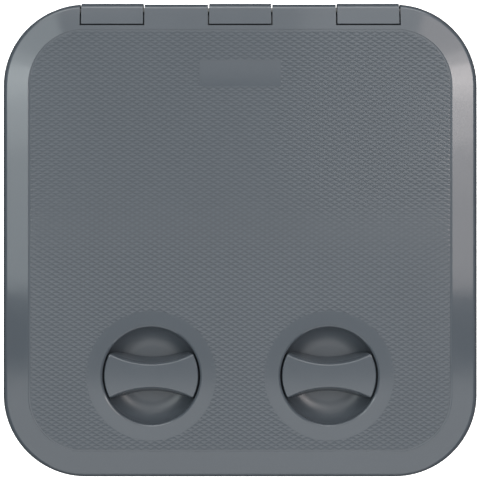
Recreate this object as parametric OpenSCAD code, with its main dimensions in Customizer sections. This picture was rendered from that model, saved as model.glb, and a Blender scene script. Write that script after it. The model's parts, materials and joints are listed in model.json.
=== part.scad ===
// Square moulded deck access hatch with two quarter-turn handles.
// Millimetres. X runs along the hinge line, +Y points to the hinge, +Z up out of the deck.
// The origin is the centre of the screw pattern, on the deck surface under the frame flange.

/* [Lid] */
// Width of the lid, along the hinge line
lid_w = 375; // [372:1:380]
// Length of the lid, from front edge to rear edge
lid_l = 374; // [372:1:380]
// Radius of the outline's corners
corner_r = 65; // [64:1:68]
// Height of the smooth panel face above the deck
panel_z = 17; // [16.5:0.5:18]
// Height of the raised tread above the panel face
tread_h = 0.4; // [0.2:0.1:0.6]
// Width of the sloping border
border_w = 21; // [19:1:23]
// How far the border falls from the panel to the outer edge
border_drop = 3.5; // [3:0.25:4]
// Radius of the rounded outer edge, which is also the hinge barrel
edge_r = 5; // [4.8:0.1:5.2]
// Wall thickness of the lid moulding
lid_wall = 3; // [2.5:0.25:3.5]
// Thickness of the stiffening ribs under the lid
rib_t = 2; // [1.5:0.25:2.5]
// Depth of the stiffening ribs under the lid
rib_h = 6; // [4:0.5:7]

/* [Frame] */
// Thickness of the flange that lies on the deck
flange_t = 3; // [2.5:0.25:3.2]
// How far the flange edge lies inside the lid outline
flange_inset = 1.5; // [1:0.25:2]
// Distance of the coaming's outer face inside the lid outline
coaming_inset = 30.5; // [30:0.5:31]
// Thickness of the coaming wall
coaming_t = 3; // [2.5:0.25:3.5]
// Depth of the coaming below the deck surface
coaming_depth = 26; // [25:1:40]
// Height of the sealing rim above the deck surface
rim_z = 9.5; // [9:0.25:10]
// Radius of the screw holes
screw_hole_r = 2.6; // [2:0.1:2.8]
// Radius of the countersinks
screw_head_r = 5; // [4.5:0.25:5.5]

/* [Hinge] */
// Width of each hinge knuckle
knuckle_w = 49; // [46:1:52]
// Distance between knuckle centres
knuckle_pitch = 101; // [99:1:103]
// Gap between a knuckle and the lid at each side
knuckle_gap = 1; // [0.6:0.1:1.4]
// Radius of the hinge pins
pin_r = 2; // [1.75:0.25:2.25]
// Radial running clearance of the pins in the lid
pin_clearance = 0.05; // [0.02:0.01:0.09]
// How far each pin reaches into the lid on both sides of its knuckle
pin_reach = 10; // [8:1:11]

/* [Cups and handles] */
// Distance of each handle axis from the centre line
handle_x = 70.1; // [68:0.1:74]
// Distance of the handle axes behind the front edge
handle_from_front = 80.4; // [80:0.1:82]
// Radius of the cup mouth
cup_r = 38.5; // [38:0.5:40]
// Depth of the cup below the panel face
cup_depth = 18; // [17.5:0.5:18.5]
// Radius of the curve between cup floor and cup wall
cup_curve_r = 17; // [14:0.5:17]
// Thickness of the cup wall
cup_wall = 2.5; // [2:0.25:2.75]
// Gap between the ends of the grip and the cup wall
grip_gap = 1.3; // [1:0.1:2]
// Width of the grip at its waist
grip_waist = 18.5; // [17:0.5:20]
// Radius of the hollowed sides of the grip, at the top
grip_side_r = 71; // [64:1:80]
// How much the grip widens on each side from its top to the cup floor
grip_flare = 4.6; // [3:0.2:5]
// Radius of the handle shaft
shaft_r = 8; // [7.5:0.25:8.5]
// Radial running clearance of the shaft in the lid
shaft_clearance = 0.05; // [0.02:0.01:0.09]

/* [Latches] */
// Distance from the shaft axis to the tip of the cam
cam_reach = 43.9; // [43:0.1:44.5]
// Thickness of the cam arm
cam_t = 5; // [4:0.5:5]
// Width of the cam arm at its tip
cam_tip_w = 14; // [12:1:18]
// Side of the square drive between shaft and cam
drive_w = 8; // [7.5:0.25:8.5]
// Height of the keeper's underside, below the deck surface
keeper_depth = 13; // [12.5:0.25:13]
// Gap between a closed cam and its keeper
keeper_gap = 0.5; // [0.3:0.1:0.6]
// Width of each keeper
keeper_w = 40; // [34:1:46]

/* [Hidden] */
$fn = 96;
LEFT = -1;
RIGHT = 1;
overlap = 0.5;
arc_steps = 10;

// Centres of the outline's corners
corner_x = lid_w / 2 - corner_r;
corner_y = lid_l / 2 - corner_r;

// The rounded edge touches the border slope, which fixes the height of its centre and of the hinge axis
border_angle = atan(border_drop / border_w);
border_foot_z = panel_z - border_drop;
edge_z = border_foot_z + edge_r * tan(border_angle) - edge_r / cos(border_angle);
hinge_y = lid_l / 2 - edge_r;
skirt_z = flange_t + 0.6;
under_panel_z = panel_z - lid_wall;

// Plain bands of the lid, by distance inside its outline
tread_inset = border_w + 3;
label_w = 64;
label_l = 21;
label_y = 131.6;
handle_ring_r = 51;
gasket_w = 5.6;
gasket_inset = coaming_inset + coaming_t / 2 - gasket_w / 2;
gasket_gap = 0.2;
gasket_top_z = under_panel_z;
channel_z = under_panel_z - 4;
channel_overlap = 2;
rib_reach_x = lid_w / 2 - gasket_inset - gasket_w - rib_t / 2;
rib_reach_y = lid_l / 2 - gasket_inset - gasket_w - rib_t / 2;
rib_rows = [-50, 0, 50, 100];
rib_columns = [-2.5:1:2.5];
rib_pitch = 48;

// Knuckles and the notches that they lie in
knuckle_proud = 0.6;
knuckle_r = edge_r + knuckle_proud;
knuckle_front_y = hinge_y - 11.5;
notch_r = 14.4;
relief_margin = 0.2;

// Handle and cup heights
handle_y = handle_from_front - lid_l / 2;
cup_floor_z = panel_z - cup_depth;
cup_curve_z = cup_floor_z + cup_curve_r;
cup_curve_x = cup_r - cup_curve_r;
grip_r = cup_r - grip_gap;
hub_r = 12;
hub_lift = 0.1;
boss_r = 13;
boss_z = cup_floor_z - 8;
washer_top_z = boss_z - 0.1;
washer_t = 1;
cam_top_z = washer_top_z - washer_t;
arm_top_z = -keeper_depth - keeper_gap;
cam_bottom_z = arm_top_z - cam_t;
cam_hub_r = 12;
cam_root_inset = 1;
cam_tip_taper = 4;
cam_tip_cut = 2;
drive_clearance = 0.1;
drive_gap = 0.3;
washer_clearance = 0.2;
insert_r = 3.5;
insert_l = 8;
insert_z = cam_top_z + 1;
bolt_r = 2.5;
bolt_clearance = 0.2;
bolt_head_r = 4.6;
bolt_head_t = 3;
bolt_head_bevel = 1;
recess_w = 1;
recess_l = 5;
recess_depth = 1.5;
spring_washer_t = 1.2;
spring_washer_r = 5.9;
spring_washer_slit = 0.8;
o_ring_section_r = 0.9;
o_ring_groove_w = 2.4;
o_ring_z = cup_floor_z - 3.5;

// Keepers on the front wall of the frame
coaming_in_y = lid_l / 2 - coaming_inset - coaming_t;
keeper_t = 4;
keeper_l = 7;
keeper_lead = 3;

// Screw holes: four corners, then pairs along front, rear and sides
corner_screw = 157;
edge_screw_out = 172;
edge_screw_along = 50;
SCREWS = [
    for (x = [-1, 1], y = [-1, 1]) [x * corner_screw, y * corner_screw],
    for (x = [-1, 1], y = [-1, 1]) [x * edge_screw_along, y * edge_screw_out],
    for (x = [-1, 1], y = [-1, 1]) [x * edge_screw_out, y * edge_screw_along]
];

LID_COLOUR = [0.41, 0.44, 0.47];
FRAME_COLOUR = [0.40, 0.43, 0.46];
RUBBER_COLOUR = [0.06, 0.06, 0.06];
STEEL_COLOUR = [0.78, 0.79, 0.80];
BRASS_COLOUR = [0.72, 0.58, 0.30];
NYLON_COLOUR = [0.10, 0.10, 0.11];

// Points of an arc, from one angle to another
function arc(centre, r, from, to) =
    [for (i = [0:arc_steps]) let (a = from + (to - from) * i / arc_steps) centre + r * [cos(a), sin(a)]];

// Sweeps a 2D profile round the outline. The profile's X is the distance out from the corner centres.
module swept() {
    for (quarter = [0:3]) {
        reach = quarter % 2 == 0 ? corner_x : corner_y;
        half_run = quarter % 2 == 0 ? corner_y : corner_x;
        rotate([0, 0, 90 * quarter]) {
            translate([reach, 0, 0])
                rotate([90, 0, 0])
                    linear_extrude(2 * half_run, center = true) children();
            translate([reach, half_run, 0])
                rotate_extrude(angle = 90) children();
        }
    }
}

// A band round the outline between two insets and two heights
module band(inset, width, z, h) {
    swept() translate([corner_r - inset - width, z]) square([width, h]);
}

// A plate that fills the outline up to an inset
module plate(inset, z, h) {
    translate([-corner_x, -corner_y, z]) cube([2 * corner_x, 2 * corner_y, h]);
    swept() translate([0, z]) square([corner_r - inset, h]);
}

// A cylinder along X about the hinge axis
module hinge_cylinder(r, length) {
    translate([-length / 2, hinge_y, edge_z]) rotate([0, 90, 0]) cylinder(r = r, h = length);
}

// Repeats its children at the three knuckles
module at_knuckles() {
    for (i = [-1:1]) translate([i * knuckle_pitch, 0, 0]) children();
}

// Places its children on a handle axis
module at_handle(side) {
    translate([side * handle_x, handle_y, 0]) children();
}

// Section of the lid's skin from the corner centre to the outer edge, with a round bead along the edge
module lid_section() {
    edge_centre = [corner_r - edge_r, edge_z];
    skirt_in = corner_r - lid_wall;
    slope_start = corner_r - border_w;
    slope_end = edge_centre + edge_r * [sin(border_angle), cos(border_angle)];
    under_slope = [edge_centre[0], under_panel_z - (edge_centre[0] - slope_start) * tan(border_angle)];
    polygon([
        [0, panel_z], [0, under_panel_z], [slope_start, under_panel_z], under_slope,
        edge_centre, [skirt_in, edge_z], [skirt_in, skirt_z], [corner_r, skirt_z],
        [corner_r, edge_z], slope_end, [slope_start, panel_z]
    ]);
    translate(edge_centre) circle(r = edge_r);
}

// Bowl of a cup: the space that the cup leaves, or its outside when grown by the wall
module bowl(grow, top_z) {
    rotate_extrude()
        polygon(concat(
            [[0, top_z], [0, cup_floor_z - grow]],
            arc([cup_curve_x, cup_curve_z], cup_curve_r + grow, -90, 0),
            [[cup_r + grow, top_z]]
        ));
}

// Ribs, gasket channel and cup bosses under the panel
module lid_underside() {
    rib_z = under_panel_z - rib_h;
    for (inset = [gasket_inset - rib_t, gasket_inset + gasket_w])
        band(inset, rib_t, channel_z, gasket_top_z - channel_z + channel_overlap);
    for (column = rib_columns)
        translate([column * rib_pitch - rib_t / 2, rib_rows[0], rib_z])
            cube([rib_t, rib_reach_y - rib_rows[0], rib_h + overlap]);
    for (y = rib_rows)
        translate([-rib_reach_x, y - rib_t / 2, rib_z])
            cube([2 * rib_reach_x, rib_t, rib_h + overlap]);
    for (side = [LEFT, RIGHT])
        at_handle(side) {
            bowl(cup_wall, panel_z - overlap / 2);
            translate([0, 0, boss_z]) cylinder(r = boss_r, h = cup_floor_z - boss_z);
        }
}

// Raised tread area, with plain rings round the cups and a plain label field
module tread() {
    difference() {
        plate(tread_inset, panel_z - overlap, tread_h + overlap);
        for (side = [LEFT, RIGHT])
            at_handle(side) translate([0, 0, panel_z]) cylinder(r = handle_ring_r, h = 1);
        translate([-label_w / 2, label_y - label_l / 2, panel_z]) cube([label_w, label_l, 1]);
    }
}

// Space cleared behind and under the hinge axis so that the lid can turn over onto the deck
module hinge_relief() {
    difference() {
        translate([-lid_w / 2, hinge_y, 0]) cube([lid_w, 2 * edge_r, edge_z]);
        hinge_cylinder(edge_r + relief_margin, lid_w + 1);
    }
}

module lid() {
    color(LID_COLOUR)
        difference() {
            union() {
                translate([-corner_x, -corner_y, under_panel_z])
                    cube([2 * corner_x, 2 * corner_y, lid_wall]);
                swept() lid_section();
                lid_underside();
                tread();
            }
            for (side = [LEFT, RIGHT])
                at_handle(side) {
                    bowl(0, panel_z + 2);
                    translate([0, 0, boss_z - 1])
                        cylinder(r = shaft_r + shaft_clearance, h = cup_depth);
                }
            at_knuckles() hinge_cylinder(notch_r, knuckle_w + 2 * knuckle_gap);
            hinge_cylinder(pin_r + pin_clearance, lid_w);
            hinge_relief();
        }
}

// Knuckle of the frame: a barrel on a block that follows the lid's border slope
module knuckle() {
    front_inset = lid_l / 2 - knuckle_front_y;
    border_z = border_foot_z + front_inset * tan(border_angle);
    difference() {
        union() {
            hinge_cylinder(knuckle_r, knuckle_w);
            translate([-knuckle_w / 2, 0, 0])
                rotate([90, 0, 90])
                    linear_extrude(knuckle_w)
                        polygon([
                            [knuckle_front_y, flange_t - overlap],
                            [knuckle_front_y, border_z + knuckle_proud / cos(border_angle)],
                            [hinge_y + knuckle_r * sin(border_angle), edge_z + knuckle_r * cos(border_angle)],
                            [hinge_y, edge_z],
                            [hinge_y + 2, flange_t - overlap]
                        ]);
        }
        hinge_cylinder(pin_r, knuckle_w + 2);
    }
}

// Inward ledge that a closed cam lies under, with a lead-in at both ends
module keeper() {
    half = keeper_w / 2;
    translate([0, keeper_l - coaming_in_y, -keeper_depth])
        rotate([90, 0, 0])
            linear_extrude(keeper_l + overlap)
                polygon([
                    [-half, keeper_t], [-half, keeper_t / 2], [keeper_lead - half, 0],
                    [half - keeper_lead, 0], [half, keeper_t / 2], [half, keeper_t]
                ]);
}

module countersunk_hole() {
    translate([0, 0, -1]) cylinder(r = screw_hole_r, h = flange_t + 2);
    translate([0, 0, flange_t - (screw_head_r - screw_hole_r)])
        cylinder(r1 = screw_hole_r, r2 = screw_head_r, h = screw_head_r - screw_hole_r);
}

module frame() {
    color(FRAME_COLOUR)
        difference() {
            union() {
                band(flange_inset, coaming_inset - flange_inset + coaming_t, 0, flange_t);
                band(coaming_inset, coaming_t, -coaming_depth, coaming_depth + rim_z);
                at_knuckles() knuckle();
                for (side = [LEFT, RIGHT]) translate([side * handle_x, 0, 0]) keeper();
            }
            for (p = SCREWS) translate([p[0], p[1], 0]) countersunk_hole();
        }
}

module lid_gasket() {
    z = rim_z + gasket_gap;
    color(RUBBER_COLOUR) band(gasket_inset, gasket_w, z, gasket_top_z - z);
}

module hinge_pin(place) {
    color(STEEL_COLOUR)
        translate([place * knuckle_pitch, 0, 0]) hinge_cylinder(pin_r, knuckle_w + 2 * pin_reach);
}

// Bow-tie grip in the cup, with a shaft that drives the cam under the lid
module handle(side) {
    side_y = grip_side_r + grip_waist / 2;
    flare_slope = grip_flare / cup_depth;
    color(LID_COLOUR)
        at_handle(side)
            difference() {
                union() {
                    difference() {
                        rotate_extrude()
                            polygon(concat(
                                [[0, panel_z], [0, cup_floor_z + grip_gap]],
                                arc([cup_curve_x, cup_curve_z], cup_curve_r - grip_gap, -90, 0),
                                [[grip_r, panel_z]]
                            ));
                        for (y = [-side_y, side_y])
                            translate([0, y, cup_floor_z])
                                cylinder(
                                    r1 = grip_side_r - grip_flare,
                                    r2 = grip_side_r + flare_slope,
                                    h = cup_depth + 1
                                );
                    }
                    translate([0, 0, cup_floor_z + hub_lift])
                        cylinder(r = hub_r, h = grip_gap - hub_lift + overlap);
                    translate([0, 0, cam_top_z]) cylinder(r = shaft_r, h = cup_floor_z - cam_top_z + overlap);
                    translate([-drive_w / 2, -drive_w / 2, cam_bottom_z + drive_gap])
                        cube([drive_w, drive_w, cam_top_z - cam_bottom_z]);
                }
                translate([0, 0, o_ring_z - o_ring_groove_w / 2])
                    difference() {
                        cylinder(r = shaft_r + 1, h = o_ring_groove_w);
                        cylinder(r = shaft_r - 2 * o_ring_section_r, h = o_ring_groove_w);
                    }
                translate([0, 0, insert_z]) cylinder(r = insert_r, h = insert_l);
                translate([0, 0, cam_bottom_z - 1])
                    cylinder(r = bolt_r + bolt_clearance, h = insert_z - cam_bottom_z + 2);
            }
}

module o_ring(side) {
    color(RUBBER_COLOUR)
        at_handle(side)
            translate([0, 0, o_ring_z])
                rotate_extrude()
                    translate([shaft_r - o_ring_section_r, 0]) circle(r = o_ring_section_r, $fn = 24);
}

module shaft_insert(side) {
    color(BRASS_COLOUR)
        at_handle(side)
            difference() {
                translate([0, 0, insert_z]) cylinder(r = insert_r, h = insert_l);
                translate([0, 0, insert_z - 1]) cylinder(r = bolt_r, h = insert_l + 2);
            }
}

module thrust_washer(side) {
    color(NYLON_COLOUR)
        at_handle(side)
            translate([0, 0, cam_top_z])
                difference() {
                    cylinder(r = boss_r, h = washer_t);
                    translate([0, 0, -1]) cylinder(r = shaft_r + washer_clearance, h = washer_t + 2);
                }
}

// Cam with a hub on the square drive and an arm that points to the middle of the hatch
module latch_cam(side) {
    hub_h = cam_top_z - cam_bottom_z;
    hub_w = cam_hub_r - cam_root_inset;
    tip_w = cam_tip_w / 2;
    drive = drive_w + 2 * drive_clearance;
    color(NYLON_COLOUR)
        at_handle(side)
            rotate([0, 0, side == LEFT ? 0 : 180])
                difference() {
                    union() {
                        translate([0, 0, cam_bottom_z]) cylinder(r = cam_hub_r, h = hub_h);
                        translate([0, 0, cam_bottom_z])
                            linear_extrude(cam_t)
                                polygon([
                                    [0, -hub_w], [cam_reach - cam_tip_taper, -tip_w],
                                    [cam_reach, cam_tip_cut - tip_w], [cam_reach, tip_w - cam_tip_cut],
                                    [cam_reach - cam_tip_taper, tip_w], [0, hub_w]
                                ]);
                    }
                    translate([-drive / 2, -drive / 2, cam_bottom_z - 1]) cube([drive, drive, hub_h + 2]);
                }
}

module spring_washer(side) {
    z = cam_bottom_z - spring_washer_t;
    color(STEEL_COLOUR)
        at_handle(side)
            translate([0, 0, z])
                difference() {
                    cylinder(r = spring_washer_r, h = spring_washer_t);
                    translate([0, 0, -1]) cylinder(r = bolt_r + bolt_clearance, h = spring_washer_t + 2);
                    translate([0, -spring_washer_slit / 2, -1])
                        cube([spring_washer_r + 1, spring_washer_slit, spring_washer_t + 2]);
                }
}

// Pan-head screw with a cross recess, its thread up in the insert
module cam_screw(side) {
    head_top_z = cam_bottom_z - spring_washer_t;
    head_z = head_top_z - bolt_head_t;
    tip_z = insert_z + insert_l - overlap;
    color(STEEL_COLOUR)
        at_handle(side)
            difference() {
                union() {
                    translate([0, 0, head_top_z - overlap])
                        cylinder(r = bolt_r, h = tip_z - head_top_z + overlap);
                    translate([0, 0, head_z + bolt_head_bevel])
                        cylinder(r = bolt_head_r, h = bolt_head_t - bolt_head_bevel);
                    translate([0, 0, head_z])
                        cylinder(r1 = bolt_head_r - bolt_head_bevel, r2 = bolt_head_r, h = bolt_head_bevel);
                }
                for (turn = [0, 90])
                    rotate([0, 0, turn])
                        translate([-recess_l / 2, -recess_w / 2, head_z - 1])
                            cube([recess_l, recess_w, recess_depth + 1]);
            }
}

frame();
lid();
lid_gasket();
hinge_pin(-1);  // hinge_pin_left
hinge_pin(0);  // hinge_pin_centre
hinge_pin(1);  // hinge_pin_right
handle(LEFT);  // handle_left
o_ring(LEFT);  // o_ring_left
shaft_insert(LEFT);  // shaft_insert_left
thrust_washer(LEFT);  // thrust_washer_left
latch_cam(LEFT);  // latch_cam_left
spring_washer(LEFT);  // spring_washer_left
cam_screw(LEFT);  // cam_screw_left
handle(RIGHT);  // handle_right
o_ring(RIGHT);  // o_ring_right
shaft_insert(RIGHT);  // shaft_insert_right
thrust_washer(RIGHT);  // thrust_washer_right
latch_cam(RIGHT);  // latch_cam_right
spring_washer(RIGHT);  // spring_washer_right
cam_screw(RIGHT);  // cam_screw_right
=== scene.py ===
import json
import math

import bmesh
import bpy
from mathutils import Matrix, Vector


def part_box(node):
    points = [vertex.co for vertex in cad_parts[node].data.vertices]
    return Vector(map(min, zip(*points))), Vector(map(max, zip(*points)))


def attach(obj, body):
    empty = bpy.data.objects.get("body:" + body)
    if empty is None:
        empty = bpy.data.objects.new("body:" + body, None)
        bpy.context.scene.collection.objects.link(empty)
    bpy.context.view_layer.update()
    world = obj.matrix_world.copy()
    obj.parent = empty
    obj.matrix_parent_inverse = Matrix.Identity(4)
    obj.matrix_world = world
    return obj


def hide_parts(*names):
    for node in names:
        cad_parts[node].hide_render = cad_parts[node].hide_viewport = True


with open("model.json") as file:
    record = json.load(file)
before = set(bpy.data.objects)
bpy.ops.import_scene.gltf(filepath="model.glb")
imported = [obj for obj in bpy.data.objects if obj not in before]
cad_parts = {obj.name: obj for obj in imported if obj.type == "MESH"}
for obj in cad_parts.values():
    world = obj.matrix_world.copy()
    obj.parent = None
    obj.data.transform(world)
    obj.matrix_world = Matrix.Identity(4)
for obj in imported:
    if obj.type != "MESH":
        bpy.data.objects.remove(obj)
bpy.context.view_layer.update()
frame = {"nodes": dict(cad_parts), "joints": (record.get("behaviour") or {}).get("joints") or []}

# ---------------------------------------------------------------------------------------------
# Sizes. Lengths are in millimetres; meshes are written in metres when they are made.
# ---------------------------------------------------------------------------------------------

MM = 0.001
JOINTS = {joint["name"]: joint for joint in frame["joints"]}
SIDES = {"left": -1, "right": 1}


def node_box(node):
    """Lowest and highest corners of a CAD node, in millimetres."""
    low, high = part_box(node)
    return low / MM, high / MM


LID_LOW, LID_HIGH = node_box("lid")
FRAME_LOW = node_box("frame")[0]
HANDLE_HIGH = node_box("handle_left")[1]
GASKET_LOW, GASKET_HIGH = node_box("lid_gasket")
CAM_LOW, CAM_HIGH = node_box("latch_cam_left")
WASHER_LOW, WASHER_HIGH = node_box("spring_washer_left")
CAM_SCREW_LOW, CAM_SCREW_HIGH = node_box("cam_screw_left")
INSERT_LOW, INSERT_HIGH = node_box("shaft_insert_left")

# Lid outline and section
CORNER_R = 65.0
CORNER_X = LID_HIGH.x - CORNER_R
CORNER_Y = LID_HIGH.y - CORNER_R
PANEL_Z = HANDLE_HIGH.z
TREAD_TOP_Z = LID_HIGH.z
BORDER_W = 21.0
BORDER_DROP = 3.5
BORDER_FOOT_Z = PANEL_Z - BORDER_DROP
BORDER_SLOPE = BORDER_DROP / BORDER_W
EDGE_R = 5.0
SKIRT_Z = 3.6
WALL = 3.0
UNDER_PANEL_Z = PANEL_Z - WALL
MOAT_DEPTH = 0.35

# Tread
DIAMOND_W = 7.06
DIAMOND_L = 3.95
DIAMOND_H = 0.24
TREAD_VALLEY_Z = PANEL_Z + 0.02
TREAD_INSET = 22.4
HANDLE_RING_R = 51.0
LABEL_W = 64.0
LABEL_L = 21.0
LABEL_Y = 131.6

# Hinge
HINGE_Y = JOINTS["lid_hinge"]["pos_m"][1] / MM
HINGE_Z = JOINTS["lid_hinge"]["pos_m"][2] / MM
KNUCKLE_W = 49.0
KNUCKLE_PITCH = 101.0
KNUCKLE_GAP = 1.0
KNUCKLE_PROUD = 0.6
KNUCKLE_FRONT_Y = HINGE_Y - 11.5
NOTCH_R = 14.4
PIN_R = 2.0
PIN_CLEARANCE = 0.05

# Cups, handles and latches
HANDLE_X = JOINTS["handle_right_turn"]["pos_m"][0] / MM
HANDLE_Y = JOINTS["handle_right_turn"]["pos_m"][1] / MM
CUP_R = 38.5
CUP_FLOOR_Z = PANEL_Z - 18.0
CUP_CURVE_R = 17.0
CUP_WALL = 2.5
CUP_MATT_DEPTHS = (2.5, 6.0)
CUP_LIP_R = 1.4
CUP_CHAMFER_W = 0.8
CUP_CHAMFER_LEAN = math.radians(30)
BOSS_R = 13.0
BOSS_Z = CUP_FLOOR_Z - 8.0
SHAFT_R = 8.0
SHAFT_CLEARANCE = 0.05
GRIP_GAP = 1.3
GRIP_WAIST = 18.5
GRIP_SIDE_R = 71.0
GRIP_FLARE = 4.6
GRIP_TOP_R = 1.8
GRIP_CORNER = 1.6
GRIP_DEPTHS = (3, 6, 8, 10, 11.5, 13, 14.2, 15.2, 16)
HUB_R = 12.0
HUB_LIFT = 0.1
O_RING_Z = CUP_FLOOR_Z - 3.5
GROOVE_W = 2.4
GROOVE_DEPTH = 1.8
DRIVE_W = 8.0
DRIVE_CLEARANCE = 0.1
DRIVE_GAP = 0.3
INSERT_R = 3.5
CAM_TOP_Z = CAM_HIGH.z
CAM_BOTTOM_Z = CAM_LOW.z
CAM_T = 5.0
CAM_HUB_R = 12.0
CAM_ROOT_W = 21.0
CAM_ARM_W = 14.4
CAM_TIP_W = 9.0
CAM_TAPER = 5.0
WASHER_OUT_R = 5.9
WASHER_IN_R = 2.75
WASHER_LIFT = 0.25
CAM_SCREW_R = 2.5
CAM_SCREW_HEAD_R = 4.6
CAM_SCREW_WAY_R = 2.7
RECESS_W = 1.0
RECESS_L = 5.2
RECESS_DEPTH = 1.6

# Frame
FLANGE_T = 3.0
FLANGE_INSET = 1.5
COAMING_OUT = 30.5
COAMING_IN = 33.5
RIM_Z = 9.5
KEEPER_Z = -13.0
KEEPER_W = 40.0
KEEPER_L = 7.0
KEEPER_T = 4.0
KEEPER_LEAD = 3.0
DECK_SCREW_R = 2.6
COUNTERSINK_R = 5.0
DECK_SCREWS = ((157, 157), (50, 172), (172, 50))

# Gasket channel and ribs under the panel
GASKET_W = 5.6
GASKET_INSET = (COAMING_OUT + COAMING_IN - GASKET_W) / 2
CHANNEL_H = 4.0
RIB_T = 2.0
RIB_H = 6.0
RIB_PITCH = 48.0
RIB_COLUMNS = 6
RIB_ROWS = (-50, 0, 50, 100)

# Pieces that are joined or cut reach this far into or past each other
OVERLAP = 1.0

# Curves: the widest step of a fillet, then the steps in a corner of the outline and in a full turn
FILLET_STEP = math.radians(8)
CORNER_STEPS = 24
ROUND_STEPS = 96
SMALL_ROUND_STEPS = 48


# ---------------------------------------------------------------------------------------------
# Mesh tools
# ---------------------------------------------------------------------------------------------

def solid(name, points, faces):
    """A closed mesh from points in millimetres, with its faces turned outwards."""
    mesh = bpy.data.meshes.new(name)
    mesh.from_pydata([[c * MM for c in p] for p in points], [], faces)
    bm = bmesh.new()
    bm.from_mesh(mesh)
    bmesh.ops.recalc_face_normals(bm, faces=bm.faces)
    bm.to_mesh(mesh)
    bm.free()
    obj = bpy.data.objects.new(name, mesh)
    bpy.context.scene.collection.objects.link(obj)
    return obj


def loft(name, rings, closed=False):
    """A solid through rings of points. It runs round into itself, or has flat ends."""
    count = len(rings[0])
    points = [p for ring in rings for p in ring]
    faces = []
    for i in range(len(rings) if closed else len(rings) - 1):
        a = i * count
        b = (i + 1) % len(rings) * count
        for k in range(count):
            m = (k + 1) % count
            faces.append((a + k, a + m, b + m, b + k))
    if not closed:
        end = (len(rings) - 1) * count
        faces.append(tuple(range(count)))
        faces.append(tuple(range(end, end + count)))
    return solid(name, points, faces)


def rounded(corners, closed=True):
    """Points through corners (x, y) or (x, y, radius), with an arc at each corner that has a radius."""
    points = []
    for i, corner in enumerate(corners):
        here = Vector(corner[:2])
        at_end = not closed and i in (0, len(corners) - 1)
        if len(corner) < 3 or at_end:
            points.append(tuple(here))
            continue
        radius = corner[2]
        before = (Vector(corners[i - 1][:2]) - here).normalized()
        after = (Vector(corners[(i + 1) % len(corners)][:2]) - here).normalized()
        half = before.angle(after) / 2
        centre = here + (before + after).normalized() * radius / math.sin(half)
        start = here + before * radius / math.tan(half) - centre
        end = here + after * radius / math.tan(half) - centre
        points += arc(centre, radius, math.atan2(start.y, start.x), math.atan2(end.y, end.x))
    return points


def arc(centre, radius, start, end):
    """Points of the shorter arc between two angles in radians."""
    turn = (end - start + math.pi) % (2 * math.pi) - math.pi
    angles = spread(start, turn, max(2, math.ceil(abs(turn) / FILLET_STEP)))
    return [(centre[0] + radius * math.cos(a), centre[1] + radius * math.sin(a)) for a in angles]


def spread(start, change, steps):
    """Evenly spaced values from start to start + change, both included."""
    return [start + change * k / steps for k in range(steps + 1)]


def inset(points, distance):
    """A closed outline, counter-clockwise, moved inwards by a distance."""
    moved = []
    for i, point in enumerate(points):
        here = Vector(point)
        before = (here - Vector(points[i - 1])).normalized()
        after = (Vector(points[(i + 1) % len(points)]) - here).normalized()
        inward = Vector((-before.y, before.x)) + Vector((-after.y, after.x))
        moved.append(tuple(here + inward * distance / (1 + before.dot(after))))
    return moved


def outline(distance, z):
    """One ring of the lid's outline, moved inwards by a distance."""
    ring = []
    for quarter, (x, y) in enumerate(((1, 1), (-1, 1), (-1, -1), (1, -1))):
        for k in range(CORNER_STEPS + 1):
            a = math.pi / 2 * (quarter + k / CORNER_STEPS)
            r = CORNER_R - distance
            ring.append((x * CORNER_X + r * math.cos(a), y * CORNER_Y + r * math.sin(a), z))
    return ring


def swept(name, section, closed=True):
    """A solid that runs round the outline. The section is in distance inside the outline, and height."""
    return loft(name, [outline(distance, z) for distance, z in section], closed)


def lathe(name, section, centre=(0, 0), steps=ROUND_STEPS):
    """A solid of revolution about a vertical axis. The section is in radius and height."""
    return loft(name, [[(x, y, z) for x, y in circle(r, centre, steps)] for r, z in section])


def fillet_levels(low, high, low_r, high_r):
    """Heights and insets of an upright prism with rounded lower and upper edges."""
    levels = []
    for base, radius, sign in ((low, low_r, 1), (high, high_r, -1)):
        if radius == 0:
            levels.append([(base, 0)])
            continue
        steps = max(2, math.ceil(math.pi / 2 / FILLET_STEP))
        levels.append([(base + sign * depth, distance) for depth, distance in round_over(radius, steps)])
    return levels[0] + levels[1][::-1]


def round_over(radius, steps):
    """Depths below an edge, and distances inside it, of a rounded edge from its end face to its side."""
    angles = spread(0, math.pi / 2, steps)
    return [(radius * (1 - math.cos(a)), radius * (1 - math.sin(a))) for a in angles]


def prism(name, points, low, high, low_r=0, high_r=0):
    """An upright prism on a counter-clockwise outline, with rounded lower and upper edges."""
    return loft(name, [
        [(x, y, z) for x, y in inset(points, distance)]
        for z, distance in fillet_levels(low, high, low_r, high_r)
    ])


def prism_along_x(name, points, low, high, end_r=0):
    """A prism along X on an outline in Y and Z, with rounded end edges."""
    return loft(name, [
        [(x, y, z) for y, z in inset(points, distance)]
        for x, distance in fillet_levels(low, high, end_r, end_r)
    ])


def rectangle(x0, x1, y0, y1, corner_r=0):
    """Points round a rectangle, counter-clockwise, with rounded corners if they have a radius."""
    corners = [(x0, y0), (x1, y0), (x1, y1), (x0, y1)]
    return rounded([(x, y, corner_r) for x, y in corners]) if corner_r else corners


def rectangle_about(centre, half_x, half_y, corner_r=0):
    return rectangle(centre[0] - half_x, centre[0] + half_x, centre[1] - half_y, centre[1] + half_y, corner_r)


def circle(radius, centre=(0, 0), steps=ROUND_STEPS):
    """Points round a circle, counter-clockwise."""
    turns = [2 * math.pi * k / steps for k in range(steps)]
    return [(centre[0] + radius * math.cos(a), centre[1] + radius * math.sin(a)) for a in turns]


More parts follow.
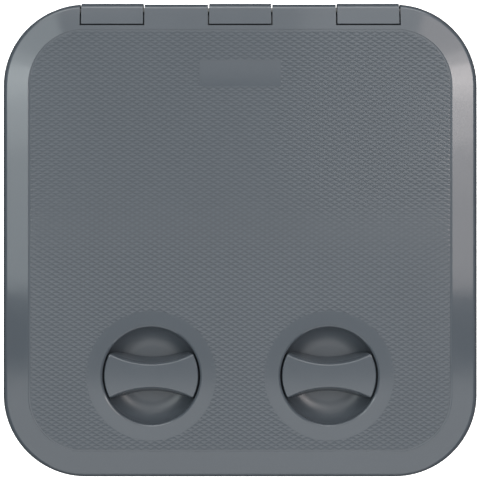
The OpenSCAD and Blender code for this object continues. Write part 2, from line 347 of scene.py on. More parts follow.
def combine(target, tools, operation):
    """Joins or cuts the target with each tool, and removes the tools."""
    for tool in tools:
        modifier = target.modifiers.new(operation, "BOOLEAN")
        modifier.operation = operation
        modifier.solver = "MANIFOLD"
        modifier.object = tool
    bpy.context.view_layer.update()
    result = bpy.data.meshes.new_from_object(target.evaluated_get(bpy.context.evaluated_depsgraph_get()))
    target.modifiers.clear()
    target.data = result
    for tool in tools:
        bpy.data.objects.remove(tool)
    return target


def shade(obj, sharp_angle=math.radians(9.5)):
    """Smooth shading in which a flat face keeps its own normal up to the curve that it runs into."""
    bm = bmesh.new()
    bm.from_mesh(obj.data)
    bm.faces.index_update()
    bends = {e: e.calc_face_angle(math.pi) if len(e.link_faces) == 2 else math.pi for e in bm.edges}
    weights = flat_region_areas(bm, bends)
    corner_normals = {}
    for vertex in bm.verts:
        corners = {loop.face: loop for loop in vertex.link_loops}
        waiting = set(corners)
        for first in corners:
            if first not in waiting:
                continue
            waiting.remove(first)
            fan = [first]
            total = Vector()
            for face in fan:
                total += face.normal * weights[face.index] * corners[face].calc_angle()
                loop = corners[face]
                for edge in (loop.edge, loop.link_loop_prev.edge):
                    if bends[edge] < sharp_angle:
                        for other in edge.link_faces:
                            if other in waiting:
                                waiting.remove(other)
                                fan.append(other)
            for face in fan:
                corner_normals[corners[face]] = total.normalized()
    normals = [corner_normals[loop][:] for face in bm.faces for loop in face.loops]
    bm.free()
    obj.data.shade_smooth()
    obj.data.normals_split_custom_set(normals)
    return obj


def flat_region_areas(bm, bends):
    """For each face, the area of the flat region that it belongs to."""
    flat = math.radians(0.1)
    areas = [0.0] * len(bm.faces)
    waiting = set(bm.faces)
    for first in bm.faces:
        if first not in waiting:
            continue
        waiting.remove(first)
        region = [first]
        for face in region:
            for edge in face.edges:
                if bends[edge] < flat:
                    for other in edge.link_faces:
                        if other in waiting:
                            waiting.remove(other)
                            region.append(other)
        area = sum(face.calc_area() for face in region)
        for face in region:
            areas[face.index] = area
    return areas


# ---------------------------------------------------------------------------------------------
# Materials
# ---------------------------------------------------------------------------------------------

def new_material(name, colour, roughness, metallic=0.0, specular=0.5):
    material = bpy.data.materials.new(name)
    material.use_nodes = True
    shader = material.node_tree.nodes["Principled BSDF"]
    shader.inputs["Base Color"].default_value = (*colour, 1)
    shader.inputs["Roughness"].default_value = roughness
    shader.inputs["Metallic"].default_value = metallic
    shader.inputs["Specular IOR Level"].default_value = specular
    return material, material.node_tree, shader


def noise_node(tree, scale, detail=3.0, roughness=0.5, stretch=(1, 1, 1)):
    """Noise in object space; the scale is in features per metre."""
    place = tree.nodes.new("ShaderNodeTexCoord")
    mapping = tree.nodes.new("ShaderNodeMapping")
    mapping.inputs["Scale"].default_value = stretch
    noise = tree.nodes.new("ShaderNodeTexNoise")
    noise.inputs["Scale"].default_value = scale
    noise.inputs["Detail"].default_value = detail
    noise.inputs["Roughness"].default_value = roughness
    tree.links.new(place.outputs["Object"], mapping.inputs["Vector"])
    tree.links.new(mapping.outputs["Vector"], noise.inputs["Vector"])
    return noise.outputs["Fac"]


def between(tree, value, low, high, start=0.3, end=0.7):
    """Maps a value from start..end to low..high; the default range suits noise."""
    node = tree.nodes.new("ShaderNodeMapRange")
    node.inputs["From Min"].default_value = start
    node.inputs["From Max"].default_value = end
    node.inputs["To Min"].default_value = low
    node.inputs["To Max"].default_value = high
    tree.links.new(value, node.inputs["Value"])
    return node.outputs["Result"]


def tint(tree, shader, colour, factor):
    """Multiplies the base colour by a varying factor."""
    node = tree.nodes.new("ShaderNodeVectorMath")
    node.operation = "SCALE"
    node.inputs[0].default_value = colour
    tree.links.new(factor, node.inputs["Scale"])
    tree.links.new(node.outputs["Vector"], shader.inputs["Base Color"])


def arithmetic(tree, operation, *values):
    """One step of arithmetic on node outputs and plain numbers."""
    node = tree.nodes.new("ShaderNodeMath")
    node.operation = operation
    for socket, value in zip(node.inputs, values):
        if isinstance(value, (int, float)):
            socket.default_value = value
        else:
            tree.links.new(value, socket)
    return node.outputs["Value"]


def place_parts(tree):
    """The X, Y and Z outputs of the place in the object."""
    place = tree.nodes.new("ShaderNodeTexCoord")
    split = tree.nodes.new("ShaderNodeSeparateXYZ")
    tree.links.new(place.outputs["Object"], split.inputs["Vector"])
    return split


def tread_mask(tree):
    """1 on the tread, 0 elsewhere; the tread is all that stands above the panel."""
    height = place_parts(tree).outputs["Z"]
    return between(tree, height, 0, 1, (PANEL_Z + 0.005) * MM, (TREAD_VALLEY_Z - 0.005) * MM)


def tread_painted_light_and_wear(tree, on_tread):
    """A colour factor: painted shade, with some dirt, darkens the valleys of the tread, and a painted
    highlight, with some wear, lightens its points.
    """
    height = place_parts(tree).outputs["Z"]
    # Painted shade, with some dirt: the tread's valleys are darkened in colour.
    painted_light_and_dirt = between(tree, on_tread, 1.0, 0.9, 0, 1)
    # Painted highlight, with some wear: the points of the tread are lightened in colour.
    point_highlight_and_wear = between(tree, height, 0, 0.2, TREAD_VALLEY_Z * MM, (TREAD_VALLEY_Z + DIAMOND_H) * MM)
    return arithmetic(tree, "ADD", painted_light_and_dirt, point_highlight_and_wear)


def cup_mask(tree):
    """1 on the surfaces down inside the cups, 0 elsewhere."""
    split = place_parts(tree)
    from_middle = arithmetic(tree, "ABSOLUTE", split.outputs["X"])
    across = arithmetic(tree, "SUBTRACT", from_middle, HANDLE_X * MM)
    along = arithmetic(tree, "SUBTRACT", split.outputs["Y"], HANDLE_Y * MM)
    squares = [arithmetic(tree, "MULTIPLY", value, value) for value in (across, along)]
    radius = arithmetic(tree, "SQRT", arithmetic(tree, "ADD", *squares))
    near = between(tree, radius, 1, 0, (CUP_R - 0.5) * MM, (CUP_R + 0.1) * MM)
    glossy_z, matt_z = (PANEL_Z - depth for depth in CUP_MATT_DEPTHS)
    below = between(tree, split.outputs["Z"], 1, 0, matt_z * MM, glossy_z * MM)
    return arithmetic(tree, "MULTIPLY", near, below)


def bump(tree, shader, height, depth, under=None):
    """Adds relief of a depth in metres, on top of any relief that is there already."""
    node = tree.nodes.new("ShaderNodeBump")
    node.inputs["Distance"].default_value = depth
    tree.links.new(height, node.inputs["Height"])
    if under is not None:
        tree.links.new(under, node.inputs["Normal"])
    tree.links.new(node.outputs["Normal"], shader.inputs["Normal"])
    return node.outputs["Normal"]


def moulded_plastic(name, colour, roughness=0.09, grain=0.000006):
    """Moulded plastic: flow marks, fine grain, varying gloss, a scuffed tread and matt cups, with painted
    shade in the cups and in the tread's valleys and a painted highlight on the tread's points.
    """
    material, tree, shader = new_material(name, colour, roughness)
    flow = between(tree, noise_node(tree, 14, 4.0), 0.975, 1.025)
    speckle = between(tree, noise_node(tree, 900, 2.0), 0.985, 1.015)
    in_cup = cup_mask(tree)
    on_tread = tread_mask(tree)
    # Painted shade: the surfaces down inside the cups are darkened in colour.
    cup_painted_shade = between(tree, in_cup, 1.0, 0.86, 0, 1)
    marks = arithmetic(tree, "MULTIPLY", flow, speckle)
    # This colour factor carries the painted shade in the cups and the tread's valleys and the painted
    # highlight on the tread's points.
    painted_light_and_dirt = arithmetic(tree, "MULTIPLY", cup_painted_shade, tread_painted_light_and_wear(tree, on_tread))
    tint(tree, shader, colour, arithmetic(tree, "MULTIPLY", marks, painted_light_and_dirt))
    gloss = between(tree, noise_node(tree, 60, 5.0, 0.65), roughness - 0.02, roughness + 0.03)
    cup_matt = arithmetic(tree, "MULTIPLY", in_cup, 0.24)
    scuffs = arithmetic(tree, "MULTIPLY", on_tread, 0.05)
    matt = arithmetic(tree, "ADD", cup_matt, scuffs)
    tree.links.new(arithmetic(tree, "ADD", gloss, matt), shader.inputs["Roughness"])
    fine = bump(tree, shader, noise_node(tree, 2600, 3.0, 0.6), grain)
    bump(tree, shader, noise_node(tree, 45, 2.0), 0.00003, fine)
    return material


def rubber(name):
    """Black sponge rubber: matt, with a dusty bloom and fine pores."""
    material, tree, shader = new_material(name, (0.02, 0.02, 0.021), 0.75, specular=0.35)
    tint(tree, shader, (0.022, 0.022, 0.023), between(tree, noise_node(tree, 120, 5.0), 0.7, 1.6))
    tree.links.new(between(tree, noise_node(tree, 400, 3.0), 0.62, 0.85), shader.inputs["Roughness"])
    bump(tree, shader, noise_node(tree, 3500, 4.0, 0.7), 0.00004)
    return material


def turned_steel(name, colour, stretch):
    """Stainless steel with fine marks along the turning direction."""
    material, tree, shader = new_material(name, colour, 0.28, metallic=1.0)
    tint(tree, shader, colour, between(tree, noise_node(tree, 300, 4.0), 0.85, 1.08))
    marks = noise_node(tree, 1800, 3.0, 0.6, stretch)
    tree.links.new(between(tree, marks, 0.2, 0.42), shader.inputs["Roughness"])
    bump(tree, shader, marks, 0.000012)
    return material


def brass(name):
    """Brass insert, slightly tarnished, with the marks of its knurling."""
    material, tree, shader = new_material(name, (0.62, 0.42, 0.16), 0.35, metallic=1.0)
    tint(tree, shader, (0.62, 0.42, 0.16), between(tree, noise_node(tree, 500, 4.0), 0.6, 1.1))
    wave = tree.nodes.new("ShaderNodeTexWave")
    wave.inputs["Scale"].default_value = 600
    wave.inputs["Distortion"].default_value = 1.0
    place = tree.nodes.new("ShaderNodeTexCoord")
    tree.links.new(place.outputs["Object"], wave.inputs["Vector"])
    bump(tree, shader, wave.outputs["Fac"], 0.0001)
    return material


def nylon(name):
    """Black glass-filled nylon: fibre streaks in the colour and a dry, uneven gloss."""
    material, tree, shader = new_material(name, (0.02, 0.02, 0.022), 0.45)
    streaks = noise_node(tree, 500, 5.0, 0.6, (1, 4, 1))
    tint(tree, shader, (0.026, 0.026, 0.028), between(tree, streaks, 0.6, 1.7))
    tree.links.new(between(tree, noise_node(tree, 700, 4.0), 0.35, 0.6), shader.inputs["Roughness"])
    bump(tree, shader, noise_node(tree, 2200, 3.0), 0.00002)
    return material


PLASTIC_COLOUR = (0.06, 0.071, 0.083)
hatch_plastic = moulded_plastic("hatch_plastic", PLASTIC_COLOUR)
seal_rubber = rubber("seal_rubber")
pin_steel = turned_steel("pin_steel", (0.16, 0.16, 0.155), (0.05, 1, 1))
screw_steel = turned_steel("screw_steel", (0.62, 0.62, 0.61), (1, 1, 0.2))
insert_brass = brass("insert_brass")
latch_nylon = nylon("latch_nylon")


def finish_piece(obj, material, body, slot, *nodes):
    """Shades a piece, gives it its material and lets it ride on its body in place of its CAD nodes."""
    obj.data.materials.clear()
    obj.data.materials.append(material)
    shade(obj)
    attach(obj, body)
    if nodes:
        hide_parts(*nodes)
    return obj


# ---------------------------------------------------------------------------------------------
# Lid
# ---------------------------------------------------------------------------------------------

def border_z(distance):
    """Height of the sloping border at a distance inside the outline."""
    return BORDER_FOOT_Z + distance * BORDER_SLOPE


def handle_centre(side):
    """Where a handle's axis stands, as (x, y)."""
    return (side * HANDLE_X, HANDLE_Y)


def lid_shell():
    """The lid's skin: panel, moat, shoulder, sloping border, rounded edge with its bead, and skirt."""
    moat_z = PANEL_Z - MOAT_DEPTH
    shoulder = BORDER_W - 0.4
    top = rounded([
        (BORDER_W + 10, PANEL_Z),
        (TREAD_INSET, PANEL_Z, 0.2),
        (TREAD_INSET - 0.2, moat_z, 0.2),
        (shoulder + 0.3, moat_z, 0.25),
        (shoulder, border_z(shoulder), 0.4),
        (0, BORDER_FOOT_Z, EDGE_R),
        (0, SKIRT_Z, 0.6),
        (WALL, SKIRT_Z, 0.6),
        (WALL, HINGE_Z - EDGE_R + 0.5),
    ], closed=False)
    # Inside the skirt the bead runs round the hinge axis, which is EDGE_R inside the outline
    bead_angles = spread(math.radians(247), math.radians(142), 18)
    inner_bead = [(EDGE_R + EDGE_R * math.cos(a), HINGE_Z + EDGE_R * math.sin(a)) for a in bead_angles]
    under = rounded([
        inner_bead[-1],
        (12, border_z(12) - WALL, 2),
        (BORDER_W + 4, UNDER_PANEL_Z, 6),
        (COAMING_OUT + 2, UNDER_PANEL_Z),
    ], closed=False)
    return swept("lid_body", top + inner_bead + under[1:], closed=False)


def diamond_slab(base_z):
    """A rectangular slab with low diamond pyramids side by side on its top."""
    step_x = DIAMOND_W / 2
    step_y = DIAMOND_L / 2
    half_x = math.ceil((LID_HIGH.x - BORDER_W) / step_x)
    half_y = math.ceil((LID_HIGH.y - BORDER_W) / step_y)
    columns = range(-half_x, half_x + 1)
    rows = range(-half_y, half_y + 1)
    points = [
        (i * step_x, j * step_y, TREAD_VALLEY_Z + (DIAMOND_H if (i + j) % 2 == 0 else 0))
        for j in rows for i in columns
    ]
    count = len(columns)
    faces = []
    for j in range(len(rows) - 1):
        for i in range(count - 1):
            a = j * count + i
            b, c, d = a + 1, a + count + 1, a + count
            if (columns[i] + rows[j]) % 2 == 0:
                faces += [(a, b, d), (b, c, d)]
            else:
                faces += [(a, b, c), (a, c, d)]
    top_count = len(points)
    rim = list(range(count))
    rim += [j * count + count - 1 for j in range(1, len(rows))]
    rim += [(len(rows) - 1) * count + i for i in range(count - 2, -1, -1)]
    rim += [j * count for j in range(len(rows) - 2, 0, -1)]
    points += [(points[i][0], points[i][1], base_z) for i in rim]
    for k, i in enumerate(rim):
        m = (k + 1) % len(rim)
        faces.append((i, top_count + k, top_count + m, rim[m]))
    faces.append(tuple(range(top_count, top_count + len(rim))))
    return solid("tread", points, faces)


def tread_slab():
    """The tread, with plain places left in it round the cups and near the hinge."""
    base_z = PANEL_Z - OVERLAP
    slab = diamond_slab(base_z)
    area_z = (base_z + 0.2, TREAD_TOP_Z + OVERLAP)
    area = swept("tread_area", [(TREAD_INSET, z) for z in area_z], closed=False)
    cut_z = (area_z[0] - 2 * OVERLAP, area_z[1] + OVERLAP)
    ring = [(HANDLE_RING_R, z) for z in cut_z]
    plain = [lathe("ring", ring, handle_centre(side)) for side in SIDES.values()]
    label = rectangle_about((0, LABEL_Y), LABEL_W / 2, LABEL_L / 2, 1.0)
    plain.append(prism("label", label, *cut_z))
    combine(area, plain, "DIFFERENCE")
    return combine(slab, [area], "INTERSECT")


def bowl_section(grow, top_z):
    """Floor and wall of a cup, as radius and height, from the axis side up to a height."""
    centre = (CUP_R - CUP_CURVE_R, CUP_FLOOR_Z + CUP_CURVE_R)
    radius = CUP_CURVE_R + grow
    curve = arc(centre, radius, -math.pi / 2, -math.asin((centre[1] - top_z) / radius))
    return [(centre[0] - 2, CUP_FLOOR_Z - grow)] + curve


def cup_outside(centre):
    """The solid of a cup's wall and of the boss under it."""
    bowl = lathe("bowl", bowl_section(CUP_WALL, UNDER_PANEL_Z + OVERLAP), centre)
    boss = lathe("boss", rounded([
        (BOSS_R, CUP_FLOOR_Z - OVERLAP), (BOSS_R, BOSS_Z, 0.8), (BOSS_R - 2, BOSS_Z),
    ], closed=False), centre)
    return [bowl, boss]


def cup_inside(centre):
    """The hollow of a cup, with a lip at the mouth that is rounded and then chamfered."""
    chamfer_z = PANEL_Z - CUP_CHAMFER_W * math.tan(CUP_CHAMFER_LEAN)
    rim_x = CUP_R + CUP_LIP_R * (1 - math.sin(CUP_CHAMFER_LEAN)) + CUP_CHAMFER_W
    lip_z = chamfer_z - CUP_LIP_R * math.cos(CUP_CHAMFER_LEAN)
    bowl = bowl_section(0, lip_z - 0.2)
    lip = arc((CUP_R + CUP_LIP_R, lip_z), CUP_LIP_R, math.pi, math.pi / 2 + CUP_CHAMFER_LEAN)
    return lathe("cup", bowl + lip + [(rim_x, PANEL_Z), (rim_x, PANEL_Z + 2 * OVERLAP)], centre)


def channel_wall(near):
    """A wall of the gasket channel, from a distance inside the outline, with rounded lower edges."""
    far = near + RIB_T
    low_z = UNDER_PANEL_Z - CHANNEL_H
    top_z = UNDER_PANEL_Z + OVERLAP
    return swept("channel", rounded([(near, low_z, 0.8), (far, low_z, 0.8), (far, top_z), (near, top_z)]))


def rib(x0, x1, y0, y1):
    """A stiffening rib under the panel, with rounded lower edges."""
    return prism("rib", rectangle(x0, x1, y0, y1), UNDER_PANEL_Z - RIB_H, UNDER_PANEL_Z + 0.5, 0.7)


def under_panel():
    """Gasket channel and stiffening ribs."""
    ribs = [channel_wall(near) for near in (GASKET_INSET - RIB_T, GASKET_INSET + GASKET_W)]
    half = RIB_T / 2
    reach = GASKET_INSET + GASKET_W + half
    reach_x = LID_HIGH.x - reach
    reach_y = LID_HIGH.y - reach
    for column in range(RIB_COLUMNS):
        x = RIB_PITCH * (column - (RIB_COLUMNS - 1) / 2)
        ribs.append(rib(x - half, x + half, RIB_ROWS[0], reach_y))
    for y in RIB_ROWS:
        ribs.append(rib(-reach_x, reach_x, y - half, y + half))
    return ribs


def at_knuckles(make):
    """What make(x) gives at the middle of each knuckle."""
    return [make(place * KNUCKLE_PITCH) for place in (-1, 0, 1)]


def along_hinge(name, radius, low, high):
    """A cylinder about the hinge axis."""
    return prism_along_x(name, circle(radius, (HINGE_Y, HINGE_Z)), low, high)


def hinge_relief():
    """The space that the skirt leaves behind and under the hinge barrel."""
    clear_r = EDGE_R + 0.2
    far = HINGE_Y + 2 * EDGE_R
    section = [(HINGE_Y, -1), (far, -1), (far, HINGE_Z)]
    section += arc((HINGE_Y, HINGE_Z), clear_r, 0, -math.pi / 2)
    return prism_along_x("relief", section, LID_LOW.x, LID_HIGH.x)


def make_lid():
    """The lid: skin, ribs, cups and tread in one moulding, cut for the hinge and the shafts."""
    lid = lid_shell()
    centres = [handle_centre(side) for side in SIDES.values()]
    added = under_panel()
    for centre in centres:
        added += cup_outside(centre)
    combine(lid, added, "UNION")
    combine(lid, [tread_slab()], "UNION")
    half = KNUCKLE_W / 2 + KNUCKLE_GAP
    cuts = at_knuckles(lambda x: along_hinge("notch", NOTCH_R, x - half, x + half))
    bore_x = LID_HIGH.x + OVERLAP
    cuts += [along_hinge("pin_bore", PIN_R + PIN_CLEARANCE, -bore_x, bore_x), hinge_relief()]
    bore_r = SHAFT_R + SHAFT_CLEARANCE
    for centre in centres:
        cuts.append(cup_inside(centre))
        cuts.append(lathe("bore", [(bore_r, BOSS_Z - OVERLAP), (bore_r, CUP_FLOOR_Z + OVERLAP)], centre))
    combine(lid, cuts, "DIFFERENCE")
    finish_piece(lid, hatch_plastic, "lid", "hatch_plastic", "lid")


make_lid()


# ---------------------------------------------------------------------------------------------
# Frame
# ---------------------------------------------------------------------------------------------

def knuckle(x):
    """A hinge knuckle: a barrel on a block, with rounded edges."""
    radius = EDGE_R + KNUCKLE_PROUD
    lean = math.atan(BORDER_SLOPE)
    front_z = border_z(LID_HIGH.y - KNUCKLE_FRONT_Y) + KNUCKLE_PROUD / math.cos(lean)
    barrel = arc((HINGE_Y, HINGE_Z), radius, math.radians(-60), math.pi / 2 - lean)
    section = [(KNUCKLE_FRONT_Y, FLANGE_T - 0.5), (HINGE_Y + 2, FLANGE_T - 0.5)] + barrel
    front_edge = rounded([barrel[-1], (KNUCKLE_FRONT_Y, front_z, 0.5), section[0]], closed=False)
    section += front_edge[1:-1]
    return prism_along_x("knuckle", section, x - KNUCKLE_W / 2, x + KNUCKLE_W / 2, 0.35)


def keeper(x):
    """A ledge on the front wall that a closed cam lies under, with a lead-in at both ends."""
    low_x, high_x = x - KEEPER_W / 2, x + KEEPER_W / 2
    top_z = KEEPER_Z + KEEPER_T
    lead_z = KEEPER_Z + KEEPER_T / 2
    wall_y = -(LID_HIGH.y - COAMING_IN)
    section = rounded([
        (low_x, top_z, 0.5), (low_x, lead_z, 0.5), (low_x + KEEPER_LEAD, KEEPER_Z, 0.8),
        (high_x - KEEPER_LEAD, KEEPER_Z, 0.8), (high_x, lead_z, 0.5), (high_x, top_z, 0.5),
    ])
    return loft("keeper", [
        [(px, y, pz) for px, pz in inset(section, distance)]
        for y, distance in fillet_levels(wall_y - 0.5, wall_y + KEEPER_L, 0, 0.6)
    ])


def screw_hole(x, y):
    """A countersunk hole through the flange."""
    cone_z = FLANGE_T - (COUNTERSINK_R - DECK_SCREW_R)
    section = [
        (DECK_SCREW_R, -OVERLAP), (DECK_SCREW_R, cone_z),
        (COUNTERSINK_R, FLANGE_T), (COUNTERSINK_R, FLANGE_T + OVERLAP),
    ]
    return lathe("screw_hole", section, (x, y), SMALL_ROUND_STEPS)


def make_frame():
    """The frame: flange, coaming, rim, knuckles and keepers in one moulding."""
    body = swept("frame_body", rounded([
        (FLANGE_INSET, 0, 0.3),
        (COAMING_OUT, 0, 0.8),
        (COAMING_OUT, FRAME_LOW.z, 0.8),
        (COAMING_IN, FRAME_LOW.z, 0.8),
        (COAMING_IN, RIM_Z, 1.2),
        (COAMING_OUT, RIM_Z, 1.2),
        (COAMING_OUT, FLANGE_T, 1.5),
        (FLANGE_INSET, FLANGE_T, 1.2),
    ]))
    added = at_knuckles(knuckle)
    added += [keeper(side * HANDLE_X) for side in SIDES.values()]
    combine(body, added, "UNION")
    signs = [(x, y) for x in (-1, 1) for y in (-1, 1)]
    cuts = [screw_hole(x * across, y * along) for across, along in DECK_SCREWS for x, y in signs]
    cuts.append(along_hinge("pin_hole", PIN_R, LID_LOW.x, LID_HIGH.x))
    combine(body, cuts, "DIFFERENCE")
    finish_piece(body, hatch_plastic, "frame", "hatch_plastic", "frame")


make_frame()


# ---------------------------------------------------------------------------------------------
# Handles
# ---------------------------------------------------------------------------------------------

def grip_outline(depth, shrink):
    """Outline of the bow-tie grip at a depth below its top, shrunk where its top edge is rounded."""
    z = PANEL_Z - depth
    curve_z = CUP_FLOOR_Z + CUP_CURVE_R
    end_r = CUP_R - GRIP_GAP
    if z < curve_z:
        # Here the ends follow the curve of the bowl
        inner_r = CUP_CURVE_R - GRIP_GAP
        end_r = CUP_R - CUP_CURVE_R + math.sqrt(max(inner_r ** 2 - (curve_z - z) ** 2, 0))
    full_depth = PANEL_Z - CUP_FLOOR_Z
    side_r = GRIP_SIDE_R - GRIP_FLARE * depth / full_depth + shrink
    side_centre = GRIP_WAIST / 2 + GRIP_SIDE_R
    # The ends shrink less than the sides, so that the thin corners keep their shape
    end_r -= 0.6 * shrink
    # The corner is where the hollow side meets the round end
    corner_y = (side_centre ** 2 - side_r ** 2 + end_r ** 2) / (2 * side_centre)
    corner_x = math.sqrt(end_r ** 2 - corner_y ** 2)
    corner_turn = math.atan2(corner_y, corner_x)
    end_turn = corner_turn - GRIP_CORNER / end_r
    right_end = [(end_r * math.cos(a), end_r * math.sin(a)) for a in spread(-end_turn, 2 * end_turn, 16)]
    side_turn = math.asin((corner_x - GRIP_CORNER) / side_r)
    upper = [
        (side_r * math.sin(a), side_centre - side_r * math.cos(a))
        for a in spread(side_turn, -2 * side_turn, 24)
    ]
    corner = (corner_x, corner_y)
    turn_in = blend_corner(right_end[-1], corner, upper[0])
    half = right_end + turn_in + upper
    turn_out = [(-x, y) for x, y in reversed(turn_in)]
    ring = half + turn_out
    left_half = [(-x, -y) for x, y in ring]
    return ring + left_half


def blend_corner(start, corner, end, steps=5):
    """Points of a smooth curve from start to end that leans towards the corner."""
    points = []
    for k in range(1, steps):
        t = k / steps
        points.append(tuple(
            (1 - t) ** 2 * a + 2 * t * (1 - t) * b + t ** 2 * c for a, b, c in zip(start, corner, end)
        ))
    return points


def make_handle(name, side):
    """A handle: the grip, its shaft with the O-ring's groove, and the square drive."""
    centre = handle_centre(side)
    bottom = PANEL_Z - CUP_FLOOR_Z - GRIP_GAP
    levels = round_over(GRIP_TOP_R, 10) + [(depth, 0.0) for depth in (*GRIP_DEPTHS, bottom)]
    grip = loft(f"grip_{name}", [
        [(centre[0] + x, centre[1] + y, PANEL_Z - depth) for x, y in grip_outline(depth, shrink)]
        for depth, shrink in levels
    ])
    hub_z = CUP_FLOOR_Z + HUB_LIFT
    groove_r = SHAFT_R - GROOVE_DEPTH
    groove_high, groove_low = O_RING_Z + GROOVE_W / 2, O_RING_Z - GROOVE_W / 2
    shaft = lathe("shaft", rounded([
        (HUB_R, CUP_FLOOR_Z + GRIP_GAP + 0.5),
        (HUB_R, hub_z, 0.3),
        (SHAFT_R, hub_z),
        (SHAFT_R, groove_high),
        (groove_r, groove_high),
        (groove_r, groove_low),
        (SHAFT_R, groove_low),
        (SHAFT_R, CAM_TOP_Z, 0.3),
        (3, CAM_TOP_Z),
    ], closed=False), centre)
    square = rectangle_about(centre, DRIVE_W / 2, DRIVE_W / 2, 0.4)
    drive = prism("drive", square, CAM_BOTTOM_Z + DRIVE_GAP, CAM_TOP_Z + OVERLAP, 0.3)
    combine(grip, [shaft, drive], "UNION")
    cavity = lathe("cavity", [(INSERT_R, INSERT_LOW.z), (INSERT_R, INSERT_HIGH.z)], centre, SMALL_ROUND_STEPS)
    way_z = (CAM_BOTTOM_Z - OVERLAP, INSERT_LOW.z + OVERLAP)
    way = lathe("way", [(CAM_SCREW_WAY_R, z) for z in way_z], centre, SMALL_ROUND_STEPS)
    combine(grip, [cavity, way], "DIFFERENCE")
    finish_piece(grip, hatch_plastic, f"handle_{name}", "hatch_plastic", f"handle_{name}")


# ---------------------------------------------------------------------------------------------
# Latch parts and seals
# ---------------------------------------------------------------------------------------------

def make_cam(name, side):
    """A cam: a hub on the square drive, and an arm that points to the middle of the hatch."""
    centre = handle_centre(side)
    toward = -side
    reach = CAM_HIGH.x + HANDLE_X
    taper_x = reach - CAM_TAPER
    root_y, arm_y, tip_y = CAM_ROOT_W / 2, CAM_ARM_W / 2, CAM_TIP_W / 2
    arm = rounded([
        (0, -root_y, 3), (taper_x, -arm_y, 4), (reach, -tip_y, 2.5),
        (reach, tip_y, 2.5), (taper_x, arm_y, 4), (0, root_y, 3), (-6, 0, 3),
    ])
    placed = [(centre[0] + toward * x, centre[1] + toward * y) for x, y in arm]
    cam = prism(f"cam_{name}", placed, CAM_BOTTOM_Z, CAM_BOTTOM_Z + CAM_T, 0.8, 0.8)
    hub = lathe("hub", rounded([
        (7, CAM_BOTTOM_Z), (CAM_HUB_R, CAM_BOTTOM_Z, 0.8), (CAM_HUB_R, CAM_TOP_Z, 0.8), (7, CAM_TOP_Z),
    ], closed=False), centre)
    below_z = CAM_BOTTOM_Z - OVERLAP
    pocket_x = sorted(centre[0] + toward * x for x in (16, reach - 9))
    pocket_area = rectangle(*pocket_x, centre[1] - 3.5, centre[1] + 3.5, 2)
    pocket = prism("pocket", pocket_area, below_z, CAM_BOTTOM_Z + 2)
    combine(cam, [hub], "UNION")
    half = DRIVE_W / 2 + DRIVE_CLEARANCE
    hole = prism("hole", rectangle_about(centre, half, half), below_z, CAM_TOP_Z + OVERLAP)
    combine(cam, [pocket, hole], "DIFFERENCE")
    finish_piece(cam, latch_nylon, f"handle_{name}", "latch_nylon", f"latch_cam_{name}")


def make_spring_washer(name, side):
    """A split ring whose ends stand a little apart in height."""
    centre = handle_centre(side)
    thick = WASHER_HIGH.z - WASHER_LOW.z - WASHER_LIFT
    section = rectangle(WASHER_IN_R, WASHER_OUT_R, 0, thick, 0.15)
    gap = math.radians(6)
    steps = 72
    angles = spread(gap, 2 * math.pi - 2 * gap, steps)
    heights = spread(WASHER_LOW.z, WASHER_LIFT, steps)
    washer = loft(f"lock_washer_{name}", [
        [(centre[0] + r * math.cos(a), centre[1] + r * math.sin(a), z + h) for r, h in section]
        for a, z in zip(angles, heights)
    ])
    finish_piece(washer, screw_steel, f"handle_{name}", "stainless", f"spring_washer_{name}")


def make_screw(name, side):
    """A pan-head screw with a cross recess."""
    centre = handle_centre(side)
    foot_z = CAM_SCREW_LOW.z
    under_head_z = WASHER_LOW.z
    screw = lathe(f"screw_{name}", rounded([
        (0.6, foot_z),
        (3.2, foot_z, 3),
        (CAM_SCREW_HEAD_R, foot_z + 1.6, 1.2),
        (CAM_SCREW_HEAD_R, under_head_z, 0.2),
        (CAM_SCREW_R, under_head_z),
        (CAM_SCREW_R, CAM_SCREW_HIGH.z, 0.5),
        (0.6, CAM_SCREW_HIGH.z),
    ], closed=False), centre, steps=64)
    half_w, half_l = RECESS_W / 2, RECESS_L / 2
    blades = []
    for half_x, half_y in ((half_w, half_l), (half_l, half_w)):
        blade = rectangle_about(centre, half_x, half_y, 0.25)
        blades.append(prism("blade", blade, foot_z - OVERLAP, foot_z + RECESS_DEPTH))
    combine(screw, blades, "DIFFERENCE")
    finish_piece(screw, screw_steel, f"handle_{name}", "stainless", f"cam_screw_{name}")


def make_gasket():
    """The lid's gasket: a flat-backed strip with a narrower, rounded nose."""
    near, far = GASKET_INSET, GASKET_INSET + GASKET_W
    low, high = GASKET_LOW.z, GASKET_HIGH.z
    nose = GASKET_W / 4
    gasket = swept("gasket", rounded([
        (near, high, 0.3), (near, low + 1.6, 0.8), (near + nose, low, 1.2),
        (far - nose, low, 1.2), (far, low + 1.6, 0.8), (far, high, 0.3),
    ]))
    finish_piece(gasket, seal_rubber, "lid", "seal_rubber", "lid_gasket")


for handle_name, handle_side in SIDES.items():
    make_handle(handle_name, handle_side)
    make_cam(handle_name, handle_side)
    make_spring_washer(handle_name, handle_side)
    make_screw(handle_name, handle_side)
make_gasket()

# These pieces keep their CAD meshes
KEPT_NODES = {f"hinge_pin_{place}": pin_steel for place in ("left", "centre", "right")}
for handle_name in SIDES:
    KEPT_NODES[f"o_ring_{handle_name}"] = seal_rubber
    KEPT_NODES[f"shaft_insert_{handle_name}"] = insert_brass
    KEPT_NODES[f"thrust_washer_{handle_name}"] = latch_nylon
for node_name, node_material in KEPT_NODES.items():
    node = frame["nodes"][node_name]
    node.data.materials.clear()
    node.data.materials.append(node_material)


# ---------------------------------------------------------------------------------------------
# Floor, light and camera
# ---------------------------------------------------------------------------------------------

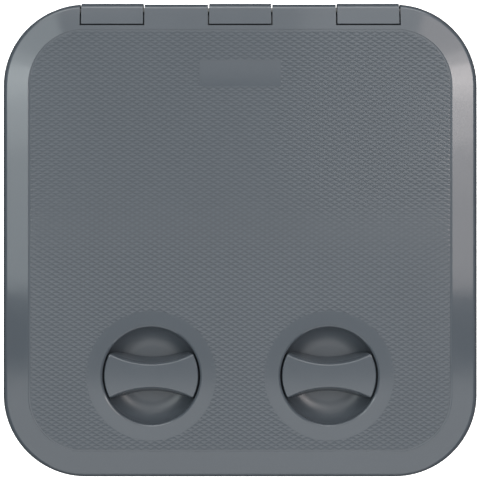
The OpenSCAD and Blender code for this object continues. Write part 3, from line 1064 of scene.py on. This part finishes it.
# Lights: sizes and places in metres
COOL = (0.94, 1.0, 1.0)
WARM = (1.08, 1.0, 0.98)
HATCH = (0, 0, 0)
LIGHT_Z = 1.0
BOX_X = 0.76
BOX_W = 0.64
BOX_Y = 0.364
BOX_L = 0.9
BOX_STRIPS = 11
LAMP_Y = 0.315
LAMP_SPREAD = 0.12

# Floor and camera, in millimetres
FLOOR_HALF = 20000
VIEW_W = 380.6
CAMERA_PLACE = (-0.13, 0.35)
CAMERA_HEIGHT = 1000.0


def make_floor():
    """A wide white floor at the foot of the frame. It gives no light of its own to the hatch."""
    corners = rectangle_about((0, 0), FLOOR_HALF, FLOOR_HALF)
    floor = solid("floor", [(x, y, FRAME_LOW.z) for x, y in corners], [(0, 1, 2, 3)])
    material, _, shader = new_material("floor_white", (0.9, 0.9, 0.9), 0.8)
    shader.inputs["Emission Color"].default_value = (1, 1, 1, 1)
    shader.inputs["Emission Strength"].default_value = 0.9
    floor.data.materials.append(material)
    floor.visible_glossy = False
    floor.visible_diffuse = False


def softbox(name, place, size, radiance, colour=(1, 1, 1), target=None):
    """A rectangular light. It faces straight down, or a target."""
    light = bpy.data.lights.new(name, "AREA")
    light.shape = "RECTANGLE"
    light.size, light.size_y = size
    light.energy = radiance * math.pi * size[0] * size[1]
    light.color = colour
    obj = bpy.data.objects.new(name, light)
    obj.location = place
    obj.visible_camera = False
    if target is not None:
        obj.rotation_euler = (Vector(target) - Vector(place)).to_track_quat("-Z", "Y").to_euler()
    bpy.context.scene.collection.objects.link(obj)


def side_box(name, side, radiance, core, colour):
    """A side box: a row of strips that get brighter towards a lamp near the rear end."""
    strip_l = BOX_L / BOX_STRIPS
    for strip in range(BOX_STRIPS):
        y = BOX_Y + strip_l * (strip + 0.5) - BOX_L / 2
        glow = core * math.exp(-((y - LAMP_Y) / LAMP_SPREAD) ** 2)
        place = (side * BOX_X, y, LIGHT_Z)
        softbox(f"softbox_{name}_{strip}", place, (BOX_W, strip_l), radiance + glow, colour)


def make_world():
    """A dim dome, lightest overhead and dark at the horizon."""
    world = bpy.data.worlds.new("studio")
    world.use_nodes = True
    tree = world.node_tree
    background = tree.nodes["Background"]
    background.inputs["Color"].default_value = (0.94, 0.98, 1.0, 1)
    place = tree.nodes.new("ShaderNodeTexCoord")
    split = tree.nodes.new("ShaderNodeSeparateXYZ")
    tree.links.new(place.outputs["Generated"], split.inputs["Vector"])
    strength = between(tree, split.outputs["Z"], 0.02, 0.22, 0.4, 0.95)
    tree.links.new(strength, background.inputs["Strength"])
    bpy.context.scene.world = world


def make_camera():
    """A camera straight above that takes in a view VIEW_W wide at the height of the hinge axis."""
    data = bpy.data.cameras.new("camera")
    data.lens = data.sensor_width * CAMERA_HEIGHT / VIEW_W
    camera = bpy.data.objects.new("camera", data)
    camera.location = [c * MM for c in (*CAMERA_PLACE, HINGE_Z + CAMERA_HEIGHT)]
    bpy.context.scene.collection.objects.link(camera)
    bpy.context.scene.camera = camera


make_floor()
make_world()
side_box("left", SIDES["left"], radiance=2.8, core=3.8, colour=COOL)
side_box("right", SIDES["right"], radiance=3.2, core=6.6, colour=WARM)
softbox("wall_rear", (-0.08, 1.2, 0.84), (2.0, 1.0), 1.1, target=HATCH)
softbox("core_rear", (-0.08, 1.17, 0.82), (1.6, 0.34), 3.8, target=HATCH)
softbox("wall_front", (0, -1.3, 0.6), (1.6, 0.7), 1.2, target=HATCH)
softbox("ceiling", (0, 0, LIGHT_Z), (0.88, 0.44), 0.42)
softbox("fill_rear_left", (-0.17, 0.59, LIGHT_Z), (0.54, 0.68), 1.15)
softbox("fill_rear_right", (0.27, 0.59, LIGHT_Z), (0.34, 0.68), 1.85)
softbox("fill_front", (0, -0.82, LIGHT_Z), (2.0, 1.2), 1.65)
make_camera()
bpy.context.scene.view_settings.view_transform = "Standard"
